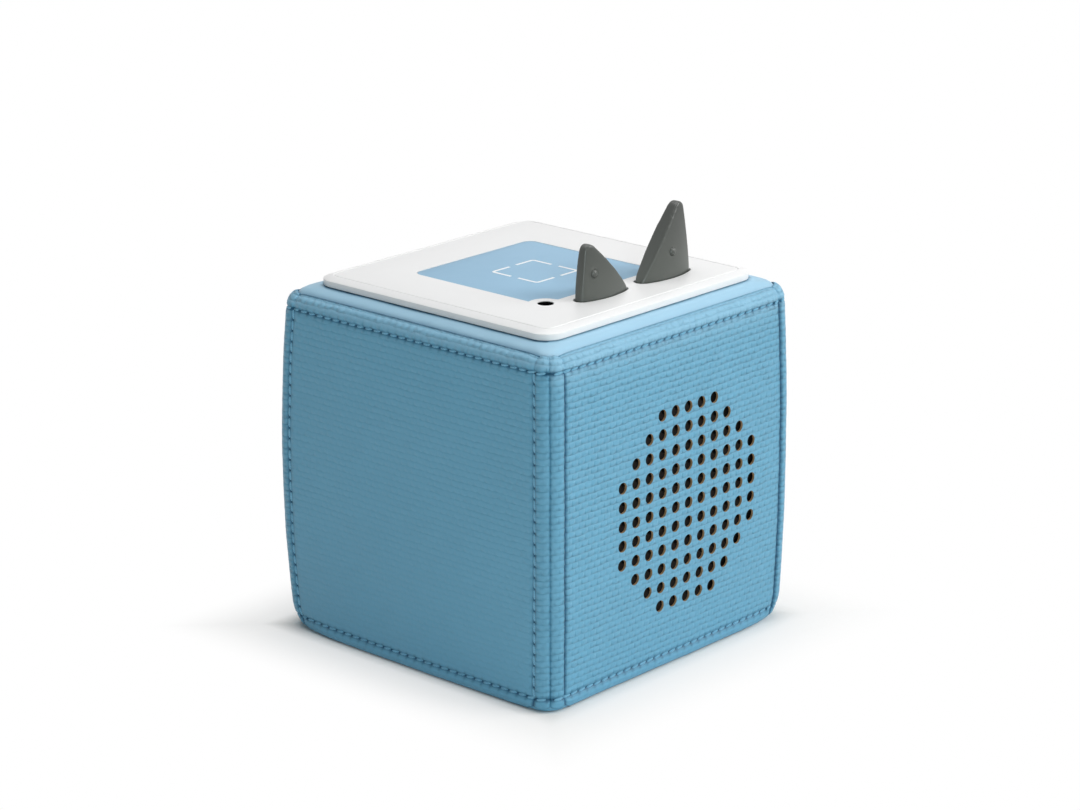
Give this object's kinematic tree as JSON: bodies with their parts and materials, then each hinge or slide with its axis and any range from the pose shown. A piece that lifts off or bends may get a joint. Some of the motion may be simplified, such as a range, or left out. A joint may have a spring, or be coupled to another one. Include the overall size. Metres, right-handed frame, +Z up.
{
  "type": "audio story player",
  "caption": "Soft fabric cube that plays stories, with a round field of speaker holes, a bevelled white top plate and two ear-shaped volume controls.",
  "frame": {"origin": "centre of the footprint, on the table that the feet stand on", "axes": "+Z up, the speaker and its holes face -Y, the headphone jack is at the rear, +Y"},
  "size_m": [0.1228, 0.1228, 0.1462],
  "materials": {
    "blue_fabric": "woven, coated",
    "pale_blue_fabric": "smooth, padded",
    "liner_foam": "open-cell foam",
    "white_plastic": "satin",
    "pad_rubber": "matt, soft-touch",
    "white_print": "printed",
    "smoked_lens": "polished",
    "led_body": "clear",
    "ear_rubber": "matt",
    "dark_plastic": "fine-grained",
    "light_plastic": "moulded",
    "circuit_board": "solder mask",
    "steel": "zinc-plated",
    "nickel_magnet": "nickel-plated",
    "ferrite": "sintered",
    "foot_rubber": "matt",
    "gold_contact": "gold-plated",
    "black_paper": "pressed paper",
    "spider_cloth": "resin-treated",
    "copper_coil": "wound",
    "chip_plastic": "moulded",
    "socket_plastic": "moulded",
    "cell_steel": "drawn can",
    "shrink_film": "shrunk film",
    "red_lead": "insulated wire",
    "black_lead": "insulated wire",
    "pale_lead": "insulated wire",
    "gasket_foam": "closed-cell foam"
  },
  "bodies": {
    "player": {"front_panel": "blue_fabric", "rear_panel": "blue_fabric", "left_panel": "blue_fabric", "right_panel": "blue_fabric", "top_border": "pale_blue_fabric", "underside_border": "blue_fabric", "foam_liner": "liner_foam", "top_plate": "white_plastic", "placement_pad": "pad_rubber", "placement_marker": "white_print", "light_lens": "smoked_lens", "status_light": "led_body", "small_ear": "ear_rubber", "small_ear_core": "dark_plastic", "small_ear_board": "circuit_board", "small_ear_switch": "steel", "large_ear": "ear_rubber", "large_ear_core": "dark_plastic", "large_ear_board": "circuit_board", "large_ear_switch": "steel", "antenna_board": "circuit_board", "figure_magnet": "nickel_magnet", "case_deck": "light_plastic", "case_tub": "dark_plastic", "base_plate": "dark_plastic", "rubber_feet": "foot_rubber", "charge_board": "circuit_board", "charge_contacts": "gold_contact", "speaker_gasket": "gasket_foam", "speaker_frame": "steel", "speaker_surround": "foot_rubber", "speaker_spider": "spider_cloth", "speaker_washer": "steel", "speaker_magnet": "ferrite", "speaker_pole": "steel", "main_board": "circuit_board", "board_chips": "chip_plastic", "board_sockets": "socket_plastic", "wireless_module": "steel", "card_socket": "steel", "memory_card": "chip_plastic", "headphone_jack": "dark_plastic", "battery_cells": "cell_steel", "battery_sleeve": "shrink_film", "battery_tray": "dark_plastic", "battery_strap": "dark_plastic", "speaker_lead": "red_lead", "battery_lead": "red_lead", "charge_lead": "black_lead", "antenna_lead": "black_lead", "ear_leads": "pale_lead", "case_screws": "steel", "board_screws": "steel", "ear_screws": "steel"},
    "small_ear_press": {"small_ear_button": "ear_rubber"},
    "large_ear_press": {"large_ear_button": "ear_rubber"},
    "cone_drive": {"speaker_cone": "black_paper", "speaker_dust_cap": "black_paper", "speaker_voice_coil": "copper_coil"}
  },
  "joints": [
    {"name": "small_ear_press_slide", "type": "slide", "parent": "player", "child": "small_ear_press", "axis": [0, 1, 0], "range_m": [0, 0.0006], "stiffness_N_per_m": 500, "springref_m": -0.0004},
    {"name": "large_ear_press_slide", "type": "slide", "parent": "player", "child": "large_ear_press", "axis": [0, 1, 0], "range_m": [0, 0.0006], "stiffness_N_per_m": 500, "springref_m": -0.0004},
    {"name": "speaker_cone_slide", "type": "slide", "parent": "player", "child": "cone_drive", "axis": [0, 1, 0], "range_m": [-0.0008, 0.0008], "stiffness_N_per_m": 1500}
  ]
}
